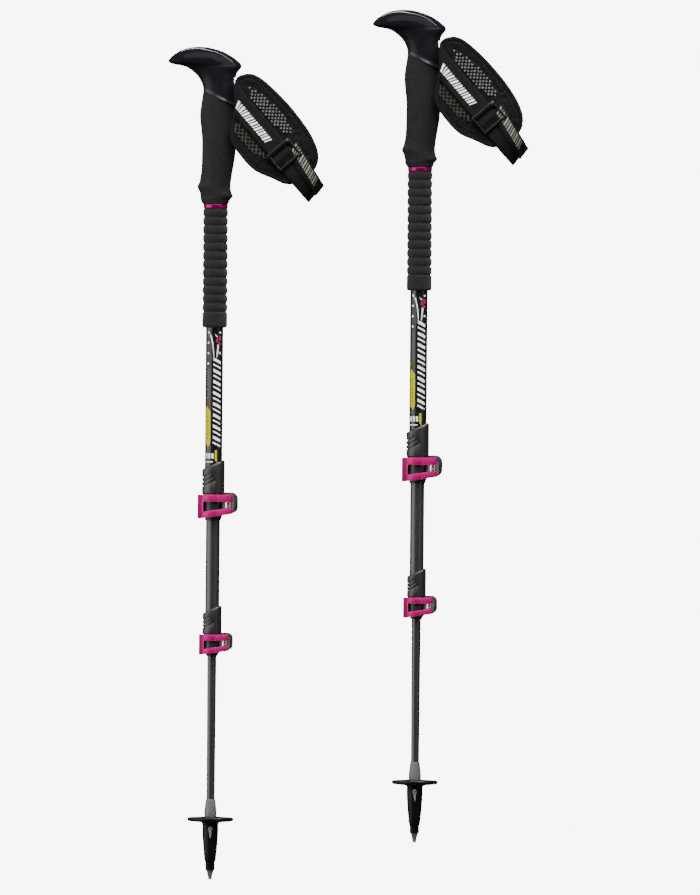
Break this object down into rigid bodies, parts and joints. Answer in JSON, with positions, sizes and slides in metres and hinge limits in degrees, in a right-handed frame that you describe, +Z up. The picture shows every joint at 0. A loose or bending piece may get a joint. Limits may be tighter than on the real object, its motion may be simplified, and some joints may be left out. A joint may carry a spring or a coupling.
{
  "type": "pair of telescopic trekking poles",
  "caption": "Pair of three-section telescopic trekking poles with lever clamps, palm-rest grips with foam extensions, padded wrist straps, trekking baskets and carbide tips.",
  "frame": {"origin": "the middle of the left pole's moulded hand grip, on the pole's axis", "axes": "+Z up along the poles from tip to grip, -X the way the palm rests' beaks point, +X towards the wrist straps and the right pole"},
  "size_m": [0.3835, 0.0512, 0.9236],
  "materials": {
    "palm_rest_plastic": "gloss",
    "grip_rubber": "matte",
    "foam": "matte",
    "anodised_magenta": "satin",
    "carbon_tube": "gloss",
    "carbon_tube_satin": "satin",
    "guide_plastic": "satin",
    "clamp_plastic": "satin",
    "steel": "satin",
    "brass_barrel": "satin",
    "ferrule_plastic": "satin",
    "basket_plastic": "satin",
    "carbide": "satin",
    "strap_padding": "matte",
    "strap_webbing": "matte",
    "buckle_plastic": "gloss"
  },
  "bodies": {
    "left_upper_section": {"left_grip_head": "palm_rest_plastic", "left_grip_handle": "grip_rubber", "left_strap_pin": "steel", "left_collar_ring": "anodised_magenta", "left_foam_sleeve": "foam", "left_upper_tube": "carbon_tube", "left_upper_clamp_body": "clamp_plastic", "left_upper_clamp_barrel": "brass_barrel", "left_upper_clamp_plate": "steel"},
    "left_wrist_strap": {"left_strap_tab": "strap_webbing", "left_strap_cuff": "strap_padding", "left_strap_webbing": "strap_webbing", "left_strap_buckle": "buckle_plastic"},
    "left_upper_lever": {"left_upper_clamp_lever": "anodised_magenta"},
    "left_upper_screw": {"left_upper_clamp_screw": "steel"},
    "left_middle_section": {"left_middle_tube": "carbon_tube_satin", "left_middle_tube_guide": "guide_plastic", "left_lower_clamp_body": "clamp_plastic", "left_lower_clamp_barrel": "brass_barrel", "left_lower_clamp_plate": "steel"},
    "left_lower_lever": {"left_lower_clamp_lever": "anodised_magenta"},
    "left_lower_screw": {"left_lower_clamp_screw": "steel"},
    "left_lower_section": {"left_lower_tube": "carbon_tube_satin", "left_lower_tube_guide": "guide_plastic", "left_tip_ferrule": "ferrule_plastic", "left_carbide_tip": "carbide"},
    "left_basket": {"left_basket": "basket_plastic"},
    "right_upper_section": {"right_grip_head": "palm_rest_plastic", "right_grip_handle": "grip_rubber", "right_strap_pin": "steel", "right_collar_ring": "anodised_magenta", "right_foam_sleeve": "foam", "right_upper_tube": "carbon_tube", "right_upper_clamp_body": "clamp_plastic", "right_upper_clamp_barrel": "brass_barrel", "right_upper_clamp_plate": "steel"},
    "right_wrist_strap": {"right_strap_tab": "strap_webbing", "right_strap_cuff": "strap_padding", "right_strap_webbing": "strap_webbing", "right_strap_buckle": "buckle_plastic"},
    "right_upper_lever": {"right_upper_clamp_lever": "anodised_magenta"},
    "right_upper_screw": {"right_upper_clamp_screw": "steel"},
    "right_middle_section": {"right_middle_tube": "carbon_tube_satin", "right_middle_tube_guide": "guide_plastic", "right_lower_clamp_body": "clamp_plastic", "right_lower_clamp_barrel": "brass_barrel", "right_lower_clamp_plate": "steel"},
    "right_lower_lever": {"right_lower_clamp_lever": "anodised_magenta"},
    "right_lower_screw": {"right_lower_clamp_screw": "steel"},
    "right_lower_section": {"right_lower_tube": "carbon_tube_satin", "right_lower_tube_guide": "guide_plastic", "right_tip_ferrule": "ferrule_plastic", "right_carbide_tip": "carbide"},
    "right_basket": {"right_basket": "basket_plastic"}
  },
  "joints": [
    {"name": "left_middle_section_slide", "type": "slide", "parent": "left_upper_section", "child": "left_middle_section", "axis": [0, 0, 1], "range_m": [-0.272, 0.089]},
    {"name": "left_lower_section_slide", "type": "slide", "parent": "left_middle_section", "child": "left_lower_section", "axis": [0, 0, 1], "range_m": [-0.205, 0.15]},
    {"name": "left_upper_clamp_lever_hinge", "type": "hinge", "parent": "left_upper_section", "child": "left_upper_lever", "pos_m": [0.0161, -0.01105, -0.3845], "axis": [0, 0, 1], "range_deg": [0, 140]},
    {"name": "left_upper_clamp_screw_turn", "type": "hinge", "parent": "left_upper_section", "child": "left_upper_screw", "pos_m": [0.0161, 0, -0.3845], "axis": [0, 1, 0], "range_deg": [-180, 180]},
    {"name": "left_lower_clamp_lever_hinge", "type": "hinge", "parent": "left_middle_section", "child": "left_lower_lever", "pos_m": [0.01352, -0.00928, -0.53114], "axis": [0, 0, 1], "range_deg": [0, 140]},
    {"name": "left_lower_clamp_screw_turn", "type": "hinge", "parent": "left_middle_section", "child": "left_lower_screw", "pos_m": [0.01352, 0, -0.53114], "axis": [0, 1, 0], "range_deg": [-180, 180]},
    {"name": "left_wrist_strap_swing", "type": "hinge", "parent": "left_upper_section", "child": "left_wrist_strap", "pos_m": [0.015, 0, 0.063], "axis": [0, -1, 0], "range_deg": [0, 50]},
    {"name": "left_basket_pull_off", "type": "slide", "parent": "left_lower_section", "child": "left_basket", "axis": [0, 0, -1], "range_m": [0, 0.075]},
    {"name": "right_middle_section_slide", "type": "slide", "parent": "right_upper_section", "child": "right_middle_section", "axis": [0, 0, 1], "range_m": [-0.272, 0.089]},
    {"name": "right_lower_section_slide", "type": "slide", "parent": "right_middle_section", "child": "right_lower_section", "axis": [0, 0, 1], "range_m": [-0.205, 0.15]},
    {"name": "right_upper_clamp_lever_hinge", "type": "hinge", "parent": "right_upper_section", "child": "right_upper_lever", "pos_m": [0.2324, -0.01105, -0.3434], "axis": [0, 0, 1], "range_deg": [0, 140]},
    {"name": "right_upper_clamp_screw_turn", "type": "hinge", "parent": "right_upper_section", "child": "right_upper_screw", "pos_m": [0.2324, 0, -0.3434], "axis": [0, 1, 0], "range_deg": [-180, 180]},
    {"name": "right_lower_clamp_lever_hinge", "type": "hinge", "parent": "right_middle_section", "child": "right_lower_lever", "pos_m": [0.22982, -0.00928, -0.49004], "axis": [0, 0, 1], "range_deg": [0, 140]},
    {"name": "right_lower_clamp_screw_turn", "type": "hinge", "parent": "right_middle_section", "child": "right_lower_screw", "pos_m": [0.22982, 0, -0.49004], "axis": [0, 1, 0], "range_deg": [-180, 180]},
    {"name": "right_wrist_strap_swing", "type": "hinge", "parent": "right_upper_section", "child": "right_wrist_strap", "pos_m": [0.2313, 0, 0.1041], "axis": [0, -1, 0], "range_deg": [0, 50]},
    {"name": "right_basket_pull_off", "type": "slide", "parent": "right_lower_section", "child": "right_basket", "axis": [0, 0, -1], "range_m": [0, 0.075]},
    {"name": "right_pole_lift", "type": "slide", "parent": "left_upper_section", "child": "right_upper_section", "axis": [0, 0, 1], "range_m": [0, 0.2]}
  ]
}
